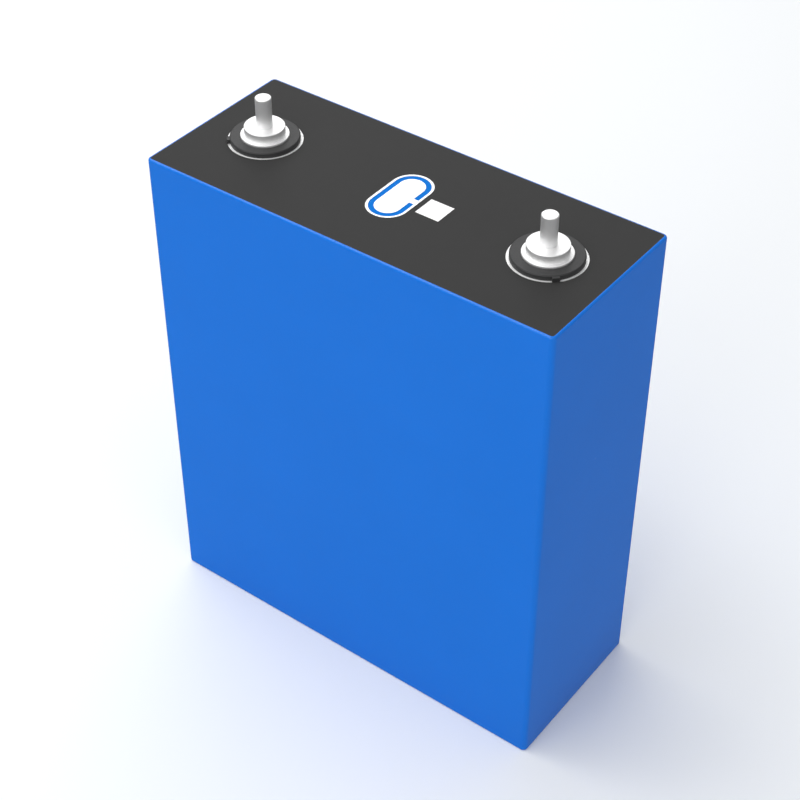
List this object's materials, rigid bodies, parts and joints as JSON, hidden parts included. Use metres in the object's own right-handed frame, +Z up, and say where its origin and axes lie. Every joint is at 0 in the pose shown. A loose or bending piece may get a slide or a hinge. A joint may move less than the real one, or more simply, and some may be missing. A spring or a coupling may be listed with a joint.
{
  "type": "prismatic battery cell",
  "caption": "Upright prismatic lithium cell: blue film around an aluminium case, black film on the lid, stud terminals on insulating rings and a scored burst vent between them.",
  "frame": {"origin": "centre of the base, on the surface that the cell stands on", "axes": "+Z up to the terminals; +X along the wide face, towards the positive terminal; +Y through the thickness, away from the front face"},
  "size_m": [0.1748, 0.0716, 0.2222],
  "materials": {
    "case_aluminium": "drawn",
    "lid_aluminium": "rolled",
    "blue_film": "satin",
    "black_film": "matte",
    "vent_aluminium": "satin",
    "score_film": "gloss",
    "insulator_plastic": "matte",
    "seal_rubber": "matte",
    "ring_plastic": "fine texture",
    "terminal_aluminium": "satin",
    "stud_steel": "satin",
    "inner_aluminium": "rolled",
    "copper": "rolled",
    "electrode_core": "coated foil, matte",
    "bag_film": "clear film"
  },
  "bodies": {
    "cell": {"can": "case_aluminium", "lid_plate": "lid_aluminium", "wrap_film": "blue_film", "base_film": "blue_film", "top_film": "black_film", "vent_rim": "vent_aluminium", "vent_guard": "insulator_plastic", "fill_plug": "seal_rubber", "fill_cap": "lid_aluminium", "positive_ring": "ring_plastic", "negative_ring": "ring_plastic", "positive_terminal": "terminal_aluminium", "negative_terminal": "terminal_aluminium", "positive_stud": "stud_steel", "negative_stud": "stud_steel", "positive_pole": "inner_aluminium", "negative_pole": "copper", "positive_seal": "seal_rubber", "negative_seal": "seal_rubber", "positive_lower_insulator": "insulator_plastic", "negative_lower_insulator": "insulator_plastic", "positive_collector": "inner_aluminium", "negative_collector": "copper", "front_core": "electrode_core", "rear_core": "electrode_core", "front_positive_tabs": "inner_aluminium", "front_negative_tabs": "copper", "rear_positive_tabs": "inner_aluminium", "rear_negative_tabs": "copper", "insulation_bag": "bag_film", "bottom_support": "insulator_plastic"},
    "flap": {"vent_flap": "vent_aluminium", "vent_score_film": "score_film"}
  },
  "joints": [
    {"name": "vent_opening", "type": "hinge", "parent": "cell", "child": "flap", "pos_m": [0.00695, 0, 0.20465], "axis": [0, 1, 0], "range_deg": [0, 80]}
  ]
}
